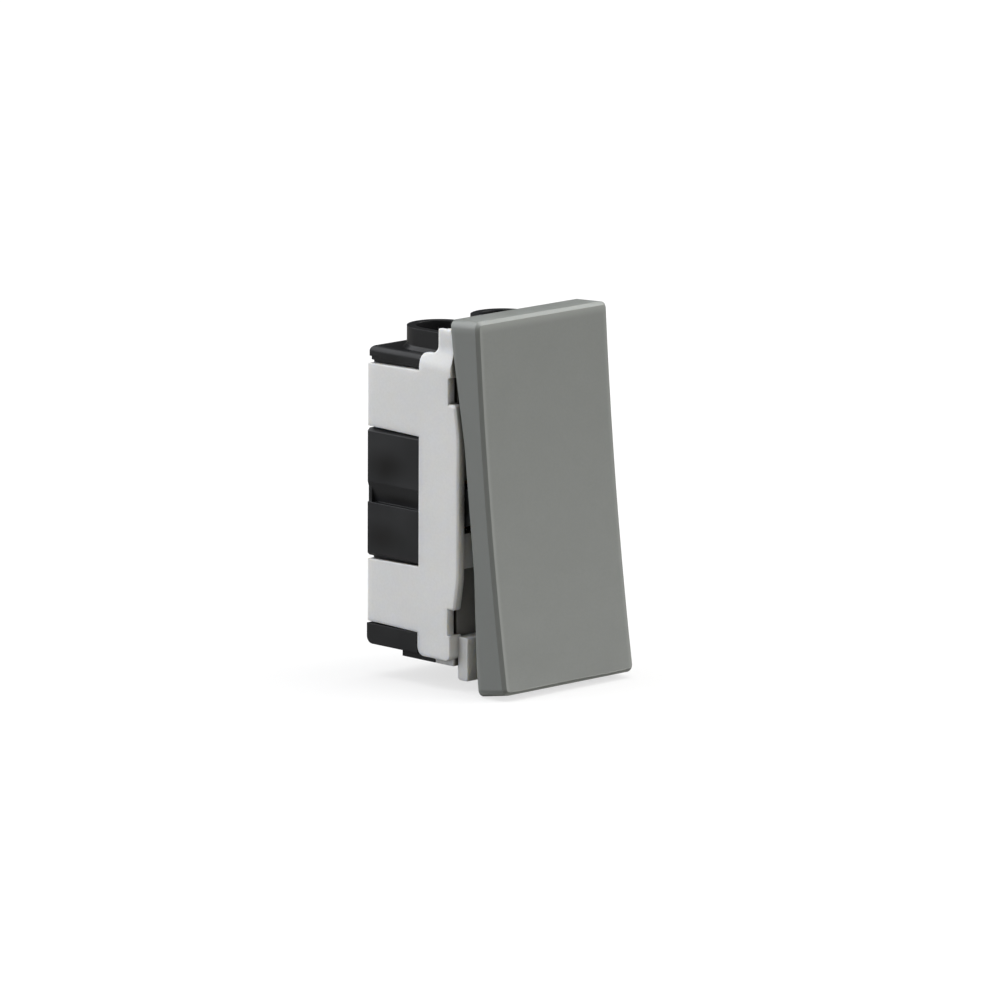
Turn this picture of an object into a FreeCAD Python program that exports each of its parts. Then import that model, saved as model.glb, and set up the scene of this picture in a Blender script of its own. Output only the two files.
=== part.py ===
import FreeCAD, Part
import math
import os
import Sketcher

# Modular rocker switch, one module of 25 x 50 mm.
# Millimetres. +X is to the right seen from the front, the front looks along -Y, +Z is up.
# The origin lies in the middle of the switch, on the flat front edge of the frame's side plates.
# The rocker parts are drawn with the rocker level and then tipped to the rest position.

DOC = FreeCAD.newDocument("ModularSwitch")

# Driving dimensions

SIZES = [
    ("plate_step", 0.15, "how far the frame's side plates stand out past the paddle"),
    ("plate_wall", 1.25, "side plate thickness"),
    ("leg_end", 17.0, "rear end of the legs"),
    ("leg_root", 7.35, "front end of the window between the legs"),
    ("leg_inner", 9.0, "height of a leg's inner edge at its end"),
    ("leg_outer", 17.4, "height of a leg's outer edge at its end"),
    ("leg_taper", 0.24, "how much each leg edge grows towards its root"),
    ("edge_flat", 9.5, "half length of the flat stretch of the front edge"),
    ("edge_fall", 0.7, "how far the front edge falls back to the notches"),
    ("notch_low", 13.8, "inner end of the front edge notches"),
    ("notch_high", 17.3, "outer end of the front edge notches"),
    ("notch_floor", 1.95, "bottom of the front edge notches"),
    ("horn_front", 1.5, "front of the frame beyond the notches"),
    ("upright", 3.85, "height of the frame's top above the housing"),
    ("top_front", 2.1, "front of the frame's top wall"),
    ("upright_rear", 4.45, "rear edge of the frame's top upright"),
    ("bend_step", 0.75, "how far the frame's top stands in from the side plates"),
    ("bend_drop", 1.55, "start of the bend to the frame's top, below the shoulder"),
    ("bend_rise", 0.65, "end of the bend to the frame's top, above the shoulder"),
    ("shoulder_step", 0.4, "height of the frame's top shoulder above the housing"),
    ("foot_step", 0.2, "how far the side plates reach below the housing"),
    ("foot_rear", 7.5, "rear edge of the side plates below the legs"),
    ("deck_front", 2.2, "front face of the frame deck"),
    ("deck_wall", 1.2, "thickness of the frame deck"),
    ("deck_room", 0.3, "clearance between the carrier and the deck opening"),
    ("deck_open_z", 4.4, "half height of the deck opening"),
    ("post_open_z", 3.4, "half height of the deck opening beside the posts"),
    ("land_front", 0.5, "front of the raised lands beside the posts"),
    ("land_inner", 3.6, "inner end of the raised lands"),
    ("land_outer", 8.3, "outer end of the raised lands"),
    ("lip_side_gap", 0.4, "clearance between a lip and the paddle's skirt"),
    ("lip_front", -0.15, "front face of the lips"),
    ("lip_step", 0.3, "inner edge of the lips beyond the notches"),
    ("lip_gap", 0.05, "clearance between a lip and the paddle's end wall"),
    ("lip_wall", 1.2, "thickness of a lip's web"),
    ("corner_x", 2.2, "thickness of the side plates beside the lips"),
    ("tongue_height", 1.1, "height of the step under the housing"),
    ("web_front", 2.0, "front end of the lower web"),
    ("web_rear", 5.3, "rear end of the lower web"),
    ("relief_width", 0.8, "width of the deck openings beside the notches"),
    ("catch_width", 4.0, "width of a leg catch"),
    ("catch_rise", 0.45, "how far a leg catch stands in"),
    ("catch_front", 14.5, "front face of a leg catch"),
    ("catch_rear", 16.2, "rear end of a leg catch"),
    ("seat_gap", 0.05, "clearance between the housing and the frame"),
    ("snap_gap", 0.1, "clearance round the catches and the housing's flanks"),
    ("rear", 17.2, "rear face of the housing"),
    ("rear_wall", 1.6, "thickness of the housing's rear wall"),
    ("top_flank", 1.46, "height of the top flanks"),
    ("low_flank", 2.76, "height of the lower flanks"),
    ("low_flank_step", 0.05, "how far the lower flanks stand back from the side plates"),
    ("top_flank_step", 0.45, "how far the top flanks stand back from the side plates"),
    ("neck_step", 0.85, "how far the neck stands back from the side plates"),
    ("neck_height", 0.55, "height of the neck below the top flanks"),
    ("pad_step", 0.15, "how far the side pads stand back from the side plates"),
    ("pad_gap", 0.16, "clearance between the side pads and the legs"),
    ("groove_high", 1.4, "upper end of the latch groove"),
    ("groove_low", 1.35, "lower end of the latch groove, below the middle"),
    ("groove_depth", 0.85, "depth of the latch groove"),
    ("groove_end", 0.6, "thickness of the wall behind the latch groove"),
    ("groove_end_step", 0.2, "how far that wall stands back from the side pads"),
    ("pad_bevel", 0.35, "bevel of the side pads' upper and lower ends"),
    ("edge_round", 1.0, "rounding of the housing's lower rear edge"),
    ("top_round", 0.8, "rounding of the housing's upper edges"),
    ("shoulder_hollow", 1.1, "hollow at the foot of the frame's top upright"),
    ("shoulder_round", 1.1, "rounding of the frame's top shoulder"),
    ("bend_round", 3.0, "rounding of the bend to the frame's top"),
    ("foot_round", 1.2, "rounding of the side plates' lower rear corners"),
    ("upright_round", 0.25, "rounding of the upright's rear edge"),
    ("horn_round", 0.8, "rounding of the frame's lower front corners"),
    ("horn_corner", 0.25, "rounding of the corners beyond the notches"),
    ("notch_round", 0.45, "rounding of the corners where the notches start"),
    ("edge_bend", 15.0, "rounding where the front edge starts to fall back"),
    ("front_bevel", 0.25, "bevel of the side plates' outer front edges"),
    ("lip_round", 0.5, "rounding of the lips' free edges"),
    ("ring_round", 0.5, "rounding of a cage's long edges"),
    ("head_bevel", 0.3, "bevel of a screw head"),
    ("blade_round", 0.8, "rounding of the see-saw's corners"),
    ("well_x", 5.9, "distance of the upper terminals from the middle"),
    ("well_y", 10.0, "distance of the terminal screws from the front"),
    ("well_radius", 4.4, "outer radius of a screw well"),
    ("well_wall", 1.2, "wall of a screw well"),
    ("well_rise", 2.9, "height of the upper screw wells above the housing"),
    ("well_foot", 0.5, "slope at the foot of the upper screw wells"),
    ("well_root", 0.5, "how far a well's wall is rooted in the housing"),
    ("tongue_rear", 11.6, "rear end of the step under the housing"),
    ("cage_room", 0.2, "clearance between the cages and the walls beside them"),
    ("chamber_z", 7.1, "half height of the contact chamber"),
    ("chamber_wall", 1.0, "wall between the contact and terminal chambers"),
    ("top_wall", 1.75, "thickness of the housing's top wall"),
    ("rib_wall", 1.6, "rib between the two upper terminals"),
    ("strip_room", 14.7, "front of the room for the strips at the rear wall"),
    ("head_clearance", 0.3, "gap round a screw head"),
    ("entry_radius", 1.5, "radius of a wire entry"),
    ("entry_funnel", 0.6, "funnel at the mouth of a wire entry"),
    ("cage_gap", 0.1, "clearance between a strip's tab and the sides of its cage"),
    ("cage_wall", 1.0, "side and bottom wall of a clamp cage"),
    ("cage_nut", 1.5, "threaded top wall of a clamp cage"),
    ("cage_depth", 6.5, "length of a clamp cage along the wire"),
    ("cage_low", 8.3, "bottom of an open clamp cage"),
    ("wire_room", 3.1, "free height for the wire in an open cage"),
    ("window_gap", 0.2, "height left above the strip in an open cage"),
    ("cage_travel", 2.3, "how far a cage rises"),
    ("tab_width", 5.2, "width of a strip inside its cage"),
    ("tab_front", 5.0, "front end of a strip inside its cage"),
    ("strip_wall", 0.8, "thickness of the brass strips"),
    ("strip_drop", 1.8, "height of a strip's cross piece above its tab"),
    ("limb_gap", 0.1, "clearance between the long strip limbs and the housing"),
    ("limb_width", 1.6, "width of the long strip limbs"),
    ("fixed_pad_low", 3.5, "inner edge of the fixed contact pads"),
    ("fixed_pad_high", 6.7, "outer edge of the fixed contact pads"),
    ("fixed_pad_x", 1.7, "how far a fixed contact pad passes the middle"),
    ("common_limb_inner", 3.8, "inner edge of the common strip's limb"),
    ("common_limb_width", 2.4, "width of the common strip's limb"),
    ("common_base", 1.5, "half height of the common strip's base"),
    ("screw_radius", 1.75, "radius of a terminal screw"),
    ("screw_gap", 0.04, "clearance between a screw and its cage"),
    ("head_radius", 2.7, "radius of a screw head"),
    ("head_height", 1.6, "height of a screw head"),
    ("slot_width", 0.8, "width of a screw slot"),
    ("slot_depth", 0.9, "depth of a screw slot"),
    ("tip_gap", 0.02, "gap between pieces that press on each other"),
    ("pivot_y", 0.6, "height of the rocker axis behind the frame's front edge"),
    ("rocker_tilt", 6.4, "tilt of the rocker in each position, degrees"),
    ("paddle_x", 12.2, "half width of the rocker paddle"),
    ("paddle_front_z", 24.8, "half height of the paddle's front"),
    ("end_draft", 0.3, "how much taller the paddle is at its rear edge"),
    ("paddle_front", 6.75, "ends of the paddle's front ahead of the axis"),
    ("paddle_hollow", 0.58, "how far the paddle's front is hollowed"),
    ("skirt_mid", 2.41, "middle of the skirt's rear edge ahead of the axis"),
    ("skirt_end", 1.55, "ends of the skirt's rear edge ahead of the axis"),
    ("skirt_flat", 8.5, "half length of the flat stretch of the skirt edge"),
    ("skirt_turn", 21.5, "height where the skirt edge is level again"),
    ("skirt_wall", 1.2, "thickness of the paddle's skirts"),
    ("end_wall", 1.35, "thickness of the paddle's end walls"),
    ("paddle_inner", 4.6, "inner face of the paddle ahead of the axis"),
    ("paddle_edge", 0.45, "bevel of the paddle's front edges"),
    ("paddle_corner", 1.0, "rounding between the paddle's skirts and end walls"),
    ("rim_bevel", 0.25, "bevel of the outer edges of the skirts' rims"),
    ("hook_width", 5.0, "width of a snap hook under the paddle"),
    ("hook_wall", 1.1, "thickness of a snap hook"),
    ("hook_nib", 0.45, "nib of a snap hook"),
    ("rib_z", 14.0, "height of the stiffening ribs under the paddle"),
    ("rib_rise", 1.0, "height of the stiffening ribs above the inner face"),
    ("rib_thick", 0.9, "thickness of the stiffening ribs"),
    ("carrier_x", 8.2, "half width of the rocker carrier"),
    ("carrier_z", 8.4, "half height of the carrier plate"),
    ("carrier_wall", 1.4, "thickness of the carrier plate"),
    ("cheek_wall", 1.4, "thickness of a carrier cheek"),
    ("cheek_radius", 2.4, "radius of a carrier cheek round the axis"),
    ("pin_radius", 1.2, "radius of the pivot pins"),
    ("pin_gap", 0.05, "clearance of the pivot pins in the posts"),
    ("pin_short", 0.25, "how far the pivot pins end inside the posts' outer faces"),
    ("post_room", 0.5, "clearance between the carrier and the posts"),
    ("post_side_gap", 0.15, "clearance between the posts and the paddle's skirt"),
    ("post_radius", 2.6, "radius of the posts round the axis"),
    ("guide_radius", 3.0, "outer radius of the plunger guide"),
    ("guide_end", 6.4, "rear end of the plunger guide behind the axis"),
    ("guide_floor", 2.9, "floor of the plunger bore ahead of the axis"),
    ("plunger_radius", 1.6, "radius of the plunger and its nose"),
    ("plunger_gap", 0.06, "clearance of the plunger in its bore"),
    ("plunger_start", 2.2, "front end of the plunger behind the axis"),
    ("peg_radius", 0.85, "radius of the peg that centres the spring"),
    ("peg_length", 1.2, "length of the peg that centres the spring"),
    ("spring_radius", 1.3, "radius of the spring to the middle of its wire"),
    ("spring_wire", 0.4, "thickness of the spring wire"),
    ("spring_turns", 4.5, "turns of the spring"),
    ("fulcrum_y", 12.7, "axis of the see-saw contact behind the front edge"),
    ("fulcrum_radius", 0.5, "radius of the fulcrum's nose"),
    ("fulcrum_gap", 0.05, "clearance of the see-saw on its fulcrum"),
    ("fulcrum_x", 2.0, "half width of the fulcrum"),
    ("bridge_tilt", 9.0, "tilt of the see-saw in each position, degrees"),
    ("bridge_x", 2.4, "half width of the see-saw"),
    ("bridge_z", 6.6, "half length of the see-saw"),
    ("bridge_wall", 1.0, "thickness of the see-saw"),
    ("bridge_lift", 0.2, "rear face of the see-saw ahead of its axis"),
    ("tip_z", 5.2, "height of the see-saw's contact tips"),
    ("tip_radius", 1.4, "radius of a contact tip"),
    ("tip_height", 0.7, "height of a moving contact tip"),
    ("tip_bevel", 0.2, "bevel round a contact tip"),
]


class Length:
    """A size that also carries the sheet expression it comes from."""

    def __init__(self, value, text):
        self.value = float(value)
        self.text = text

    def __add__(self, other):
        other = as_length(other)
        return Length(self.value + other.value, f"({self.text} + {other.text})")

    def __sub__(self, other):
        other = as_length(other)
        return Length(self.value - other.value, f"({self.text} - {other.text})")

    def __mul__(self, other):
        other = as_length(other)
        return Length(self.value * other.value, f"({self.text} * {other.text})")

    def __truediv__(self, other):
        other = as_length(other)
        return Length(self.value / other.value, f"({self.text} / {other.text})")

    def __neg__(self):
        return Length(-self.value, f"(-{self.text})")

    def __rsub__(self, other):
        return as_length(other) - self

    __radd__ = __add__
    __rmul__ = __mul__


def as_length(item):
    """Plain numbers become lengths without a sheet cell."""
    return item if isinstance(item, Length) else Length(item, repr(item))


class Sizes:
    """Every driving dimension by its alias, as a Length bound to its sheet cell."""


def fill_sheet():
    """Write the driving dimensions into the sheet and return them by alias."""
    sheet = DOC.addObject("Spreadsheet::Sheet", "Sizes")
    sizes = Sizes()
    for row, (alias, value, note) in enumerate(SIZES, start=1):
        sheet.set(f"A{row}", note)
        sheet.set(f"B{row}", str(value))
        sheet.setAlias(f"B{row}", alias)
        setattr(sizes, alias, Length(value, f"Sizes.{alias}"))
    DOC.recompute()
    return sizes


D = fill_sheet()
ZERO = Length(0, "0")
WIRE_SIDES = 6

# Sketches. On the XY plane a sketch reads (x, y), on XZ (x, z) and on YZ (y, z).

NORMAL_SIGN = {"XY": 1, "XZ": -1, "YZ": 1}
ORIGIN = -1
START, END, CENTRE = 1, 2, 3


def new_body(label):
    body = DOC.addObject("PartDesign::Body", label)
    body.Label = label
    return body


def new_sketch(body, name, plane, level):
    """A sketch parallel to one of the body's own origin planes, at a level on the third axis."""
    level = as_length(level) * NORMAL_SIGN[plane]
    planes = {item.Role: item for item in body.Origin.OriginFeatures}
    sketch = body.newObject("Sketcher::SketchObject", name)
    sketch.AttachmentSupport = [(planes[f"{plane}_Plane"], "")]
    sketch.MapMode = "FlatFace"
    sketch.AttachmentOffset = FreeCAD.Placement(FreeCAD.Vector(0, 0, level.value), FreeCAD.Rotation())
    sketch.setExpression("AttachmentOffset.Base.z", level.text)
    return sketch


def pin_point(sketch, geometry, point, x, y):
    """Hold one point of a sketch at (x, y), both bound to the sheet."""
    for kind, axis, size in (("DistanceX", -2, as_length(x)), ("DistanceY", -1, as_length(y))):
        if size.text == "0":
            sketch.addConstraint(Sketcher.Constraint("PointOnObject", geometry, point, axis))
            continue
        row = sketch.addConstraint(Sketcher.Constraint(kind, ORIGIN, START, geometry, point, size.value))
        sketch.setExpression(f"Constraints[{row}]", size.text)


def polygon(*corners):
    """A closed outline of straight edges through the corners."""
    def draw(sketch):
        spots = [FreeCAD.Vector(as_length(x).value, as_length(y).value, 0) for x, y in corners]
        lines = [
            sketch.addGeometry(Part.LineSegment(spot, spots[(row + 1) % len(spots)]), False)
            for row, spot in enumerate(spots)
        ]
        for row, line in enumerate(lines):
            after = lines[(row + 1) % len(lines)]
            sketch.addConstraint(Sketcher.Constraint("Coincident", line, END, after, START))
        for line, (x, y) in zip(lines, corners):
            pin_point(sketch, line, START, x, y)
    return draw


def rectangle(left, right, low, high):
    return polygon((left, low), (right, low), (right, high), (left, high))


def circle(x, y, radius):
    """A circle with its centre and radius bound to the sheet."""
    x, y, radius = as_length(x), as_length(y), as_length(radius)

    def draw(sketch):
        ring = Part.Circle(FreeCAD.Vector(x.value, y.value, 0), FreeCAD.Vector(0, 0, 1), radius.value)
        row = sketch.addGeometry(ring, False)
        pin_point(sketch, row, CENTRE, x, y)
        size = sketch.addConstraint(Sketcher.Constraint("Radius", row, radius.value))
        sketch.setExpression(f"Constraints[{size}]", radius.text)
    return draw


# Features

def pad(body, name, plane, low, high, draw):
    """Add the outline's prism between two levels of the plane's axis."""
    low, high = as_length(low), as_length(high)
    sketch = new_sketch(body, f"{name}_outline", plane, high if plane == "XZ" else low)
    draw(sketch)
    feature = body.newObject("PartDesign::Pad", name)
    feature.Profile = sketch
    feature.setExpression("Length", (high - low).text)
    return feature


def pocket(body, name, plane, low, high, draw):
    """Cut the outline's prism between two levels of the plane's axis, and check that it cuts."""
    low, high = as_length(low), as_length(high)
    DOC.recompute()
    before = body.Shape.Volume
    sketch = new_sketch(body, f"{name}_outline", plane, low if plane == "XZ" else high)
    draw(sketch)
    feature = body.newObject("PartDesign::Pocket", name)
    feature.Profile = sketch
    feature.setExpression("Length", (high - low).text)
    DOC.recompute()
    if not body.Shape.Volume < before:
        raise RuntimeError(f"{name} cuts nothing")
    return feature


def chosen_edges(shape, wanted):
    return [f"Edge{row}" for row, edge in enumerate(shape.Edges, start=1) if wanted(edge)]


def dress(body, kind, name, size, wanted):
    """Fillet or chamfer the edges of the finished shape that the test picks out."""
    DOC.recompute()
    names = chosen_edges(body.Shape, wanted)
    if not names:
        raise RuntimeError(f"{name} finds no edge")
    base = body.Tip
    feature = body.newObject(f"PartDesign::{kind}", name)
    feature.Base = (base, names)
    feature.setExpression("Radius" if kind == "Fillet" else "Size", as_length(size).text)
    DOC.recompute()
    if "Invalid" in feature.State:
        raise RuntimeError(f"{name} cannot be made on {names}")
    return feature


def near(first, second):
    return abs(first - as_length(second).value) < 0.01


def runs_along(edge, axis):
    """True for a straight edge parallel to an axis, given as 0, 1 or 2."""
    if edge.Curve.TypeId != "Part::GeomLine":
        return False
    direction = edge.Curve.Direction
    return abs(abs(direction[axis]) - 1) < 1e-6


def middle(edge):
    return edge.BoundBox.Center


def tip_over(body, angle, axis_y):
    """Turn a body about the cross axis at a distance behind the front edge."""
    body.Placement = FreeCAD.Placement(
        FreeCAD.Vector(), FreeCAD.Rotation(FreeCAD.Vector(1, 0, 0), angle), FreeCAD.Vector(0, axis_y, 0)
    )


# Sizes that follow from the driving ones

PLATE_X = D.paddle_x + D.plate_step
PLATE_INNER = PLATE_X - D.plate_wall
BLOCK_X = PLATE_INNER - D.seat_gap
SKIRT_INNER = D.paddle_x - D.skirt_wall
LIP_X = SKIRT_INNER - D.lip_side_gap
POST_OUTER = SKIRT_INNER - D.post_side_gap
POST_INNER = D.carrier_x + D.post_room
PIN_END = POST_OUTER - D.pin_short
DECK_OPEN_X = D.carrier_x + D.deck_room
DECK_REAR = D.deck_front + D.deck_wall
BLOCK_FRONT = DECK_REAR
LEG_ROOT_OUT = D.leg_outer + D.leg_taper
LEG_ROOT_IN = D.leg_inner - D.leg_taper
CATCH_Z = (D.leg_inner + D.leg_outer) / 2
FLANK_START = LEG_ROOT_OUT + D.snap_gap
HOUSE_TOP = FLANK_START + D.neck_height + D.top_flank
HOUSE_BOTTOM = FLANK_START + D.low_flank
SHOULDER = HOUSE_TOP + D.shoulder_step
BEND_LOW = SHOULDER - D.bend_drop
BEND_HIGH = SHOULDER + D.bend_rise
UPRIGHT_X = PLATE_X - D.bend_step
FRAME_TOP = HOUSE_TOP + D.upright
PLATE_BOTTOM = HOUSE_BOTTOM + D.foot_step
WEB_BOTTOM = HOUSE_BOTTOM + D.tongue_height
WELL_TOP = HOUSE_TOP + D.well_rise
TERMINAL_END = HOUSE_TOP - D.top_wall
PAD_X = PLATE_X - D.pad_step
PAD_END = LEG_ROOT_IN - D.pad_gap
NECK_X = PLATE_X - D.neck_step
LOW_FLANK_X = PLATE_X - D.low_flank_step
TOP_FLANK_X = PLATE_X - D.top_flank_step
LIP_LOW = D.notch_high + D.lip_step
LIP_REAR = D.horn_front + D.snap_gap
LIP_HIGH = D.paddle_front_z - D.end_wall - D.lip_gap
PADDLE_REAR_Z = D.paddle_front_z + D.end_draft
INNER_REAR = D.rear - D.rear_wall
STRIP_FRONT = INNER_REAR - D.strip_wall
LOW_WELL_FRONT = D.web_rear + D.snap_gap
CAGE_INNER = D.tab_width / 2 + D.cage_gap
CAGE_HALF = CAGE_INNER + D.cage_wall
CAVITY_X = D.well_x + CAGE_HALF + D.cage_room
COMMON_ROOM = CAGE_HALF + D.cage_room
LIMB_OUTER = CAVITY_X - D.limb_gap
TAB_LEVEL = D.cage_low + D.cage_wall + D.wire_room
WINDOW_HIGH = TAB_LEVEL + D.strip_wall + D.window_gap
CAGE_TOP = WINDOW_HIGH + D.cage_nut
SCREW_HEAD = CAGE_TOP + D.cage_travel + D.tip_gap
NOSE_END = D.fulcrum_y - D.bridge_lift - D.bridge_wall - D.tip_gap


def in_order(first, second):
    """Two levels, the lower one first."""
    return (first, second) if first.value < second.value else (second, first)


# White frame

def side_plate_outline():
    """Side view of a side plate as (y, z) corners, from the top front round to the front edge."""
    return polygon(
        (D.horn_front, D.notch_high),
        (D.horn_front, SHOULDER),
        (D.top_front, FRAME_TOP),
        (D.upright_rear, FRAME_TOP),
        (D.upright_rear, SHOULDER),
        (D.leg_root, SHOULDER),
        (D.leg_root, LEG_ROOT_OUT),
        (D.leg_end, D.leg_outer),
        (D.leg_end, D.leg_inner),
        (D.leg_root, LEG_ROOT_IN),
        (D.leg_root, -LEG_ROOT_IN),
        (D.leg_end, -D.leg_inner),
        (D.leg_end, -D.leg_outer),
        (D.foot_rear, -LEG_ROOT_OUT),
        (D.foot_rear, -PLATE_BOTTOM),
        (D.horn_front, -PLATE_BOTTOM),
        (D.horn_front, -D.notch_high),
        (D.notch_floor, -D.notch_high),
        (D.notch_floor, -D.notch_low),
        (D.edge_fall, -D.notch_low),
        (ZERO, -D.edge_flat),
        (ZERO, D.edge_flat),
        (D.edge_fall, D.notch_low),
        (D.notch_floor, D.notch_low),
        (D.notch_floor, D.notch_high),
    )


def make_frame():
    body = new_body("front_frame")
    pad(body, "deck", "XZ", D.deck_front, DECK_REAR,
        rectangle(-PLATE_X, PLATE_X, -PLATE_BOTTOM, FRAME_TOP))
    for side, name in ((-1, "left"), (1, "right")):
        inner, outer = in_order(side * PLATE_INNER, side * PLATE_X)
        pad(body, f"{name}_plate", "YZ", inner, outer, side_plate_outline())
        corner = side * (PLATE_X - D.corner_x)
        inner, outer = in_order(corner, side * PLATE_X)
        pad(body, f"{name}_low_corner", "XZ", D.horn_front, DECK_REAR,
            rectangle(inner, outer, -PLATE_BOTTOM, -D.notch_high))
        pad(body, f"{name}_high_corner", "XZ", D.horn_front, DECK_REAR,
            rectangle(inner, outer, D.notch_high, SHOULDER))
        inner, outer = in_order(side * (DECK_OPEN_X + D.snap_gap), side * PLATE_X)
        for way, end in ((-1, "lower"), (1, "upper")):
            low, high = in_order(way * D.land_inner, way * D.land_outer)
            pad(body, f"{name}_{end}_land", "XZ", D.land_front, DECK_REAR,
                rectangle(inner, outer, low, high))
    pad(body, "low_lip", "XZ", D.lip_front, LIP_REAR,
        rectangle(-LIP_X, LIP_X, -LIP_HIGH, -LIP_LOW))
    pad(body, "low_lip_root", "XZ", D.lip_front, DECK_REAR,
        rectangle(-LIP_X, LIP_X, -LIP_LOW - D.lip_wall, -LIP_LOW))
    pad(body, "low_web", "XZ", D.web_front, D.web_rear,
        rectangle(-PLATE_INNER, PLATE_INNER, -WEB_BOTTOM, -HOUSE_BOTTOM - D.snap_gap))
    pad(body, "high_lip", "XZ", D.lip_front, LIP_REAR,
        rectangle(-LIP_X, LIP_X, LIP_LOW, LIP_HIGH))
    pad(body, "high_lip_root", "XZ", D.lip_front, DECK_REAR,
        rectangle(-LIP_X, LIP_X, LIP_LOW, LIP_LOW + D.lip_wall))
    pocket(body, "deck_opening", "XZ", D.lip_front, DECK_REAR,
           rectangle(-DECK_OPEN_X, DECK_OPEN_X, -D.deck_open_z, D.deck_open_z))
    pocket(body, "post_opening", "XZ", D.deck_front, DECK_REAR,
           rectangle(-PLATE_INNER, PLATE_INNER, -D.post_open_z, D.post_open_z))
    for side, name in ((-1, "left"), (1, "right")):
        for way, end in ((-1, "lower"), (1, "upper")):
            low = way * CATCH_Z - D.catch_width / 2
            face = side * PLATE_INNER
            tip = side * (PLATE_INNER - D.catch_rise)
            pad(body, f"{name}_{end}_catch", "XY", low, low + D.catch_width,
                polygon((face, D.catch_front), (tip, D.catch_front), (face, D.catch_rear)))
            low, high = in_order(face, side * (PLATE_INNER - D.relief_width))
            first, last = in_order(way * D.notch_low, way * D.notch_high)
            pocket(body, f"{name}_{end}_relief", "XZ", D.deck_front, DECK_REAR,
                   rectangle(low, high, first, last))
        outer, inner = side * PLATE_X, side * UPRIGHT_X
        pocket(body, f"{name}_bend", "XZ", D.horn_front, D.leg_root, polygon(
            (outer, BEND_LOW), (inner, BEND_HIGH), (inner, FRAME_TOP), (outer, FRAME_TOP)))
    round_frame(body)
    round_front(body)
    return body


def round_frame(body):
    """Soften the frame's bends, shoulders and feet."""
    dress(body, "Fillet", "bend_rounds", D.bend_round, lambda edge: runs_along(edge, 1)
          and (near(abs(middle(edge).x), PLATE_X) and near(middle(edge).z, BEND_LOW)
               or near(abs(middle(edge).x), UPRIGHT_X) and near(middle(edge).z, BEND_HIGH)))
    dress(body, "Fillet", "shoulder_hollow", D.shoulder_hollow, lambda edge: runs_along(edge, 0)
          and near(middle(edge).y, D.upright_rear) and near(middle(edge).z, SHOULDER))
    dress(body, "Fillet", "shoulder_round", D.shoulder_round, lambda edge: runs_along(edge, 0)
          and near(middle(edge).y, D.leg_root) and near(middle(edge).z, SHOULDER))
    dress(body, "Fillet", "foot_round", D.foot_round, lambda edge: runs_along(edge, 0)
          and near(middle(edge).y, D.foot_rear) and near(middle(edge).z, -PLATE_BOTTOM))
    dress(body, "Fillet", "upright_round", D.upright_round, lambda edge: runs_along(edge, 0)
          and near(middle(edge).y, D.upright_rear) and near(middle(edge).z, FRAME_TOP))
    dress(body, "Fillet", "horn_round", D.horn_round, lambda edge: runs_along(edge, 0)
          and near(middle(edge).y, D.horn_front) and near(middle(edge).z, -PLATE_BOTTOM))


def round_front(body):
    """Curve the front edges of the side plates and soften their corners and the lips' free edges."""
    dress(body, "Fillet", "edge_bends", D.edge_bend, lambda edge: runs_along(edge, 0)
          and near(middle(edge).y, ZERO) and near(abs(middle(edge).z), D.edge_flat))
    dress(body, "Fillet", "notch_rounds", D.notch_round, lambda edge: runs_along(edge, 0)
          and near(middle(edge).y, D.edge_fall) and near(abs(middle(edge).z), D.notch_low))
    dress(body, "Fillet", "horn_corners", D.horn_corner, lambda edge: runs_along(edge, 0)
          and near(middle(edge).y, D.horn_front) and near(abs(middle(edge).z), D.notch_high))
    dress(body, "Fillet", "lip_rounds", D.lip_round, lambda edge: runs_along(edge, 0)
          and near(middle(edge).y, LIP_REAR) and near(abs(middle(edge).z), LIP_HIGH))

    def outer_front(edge):
        box = edge.BoundBox
        return (near(box.XLength, ZERO) and near(abs(box.XMin), PLATE_X)
                and box.YMax < D.edge_fall.value + 0.02 and box.ZLength > D.notch_round.value)

    dress(body, "Chamfer", "front_bevels", D.front_bevel, outer_front)


# Black housing

def make_housing():
    body = new_body("base_housing")
    pad(body, "block", "XZ", BLOCK_FRONT, D.rear,
        rectangle(-BLOCK_X, BLOCK_X, -HOUSE_BOTTOM, HOUSE_TOP))
    flank_front = D.foot_rear + D.snap_gap
    pad(body, "low_flanks", "XZ", flank_front, D.rear,
        rectangle(-LOW_FLANK_X, LOW_FLANK_X, -HOUSE_BOTTOM, -FLANK_START))
    pad(body, "neck", "XZ", flank_front, D.rear,
        rectangle(-NECK_X, NECK_X, FLANK_START, FLANK_START + D.neck_height))
    pad(body, "top_flanks", "XZ", flank_front, D.rear,
        rectangle(-TOP_FLANK_X, TOP_FLANK_X, FLANK_START + D.neck_height, HOUSE_TOP))
    pads_outline = polygon(
        (-PAD_X, -PAD_END), (PAD_X, -PAD_END),
        (PAD_X, -D.groove_low), (PAD_X - D.groove_depth, -D.groove_low),
        (PAD_X, D.groove_high), (PAD_X, PAD_END),
        (-PAD_X, PAD_END), (-PAD_X, D.groove_high),
        (-PAD_X + D.groove_depth, -D.groove_low), (-PAD_X, -D.groove_low),
    )
    pad(body, "side_pads", "XZ", D.leg_root + D.snap_gap, D.rear, pads_outline)
    end_x = PAD_X - D.groove_end_step
    pad(body, "groove_ends", "XZ", D.rear - D.groove_end, D.rear,
        rectangle(-end_x, end_x, -D.groove_low, D.groove_high))
    pad(body, "tongue", "XZ", D.web_rear + D.snap_gap, D.tongue_rear,
        rectangle(-PLATE_INNER, PLATE_INNER, -WEB_BOTTOM, -HOUSE_BOTTOM))
    dress_block(body)
    for side, name in ((-1, "left"), (1, "right")):
        add_well(body, name, side * D.well_x, 1, HOUSE_TOP, BLOCK_FRONT)
    slope_feet(body)
    add_well(body, "low", ZERO, -1, HOUSE_BOTTOM, LOW_WELL_FRONT)
    hollow_out(body)
    cut_terminal_ways(body)
    add_posts(body)
    return body


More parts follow.
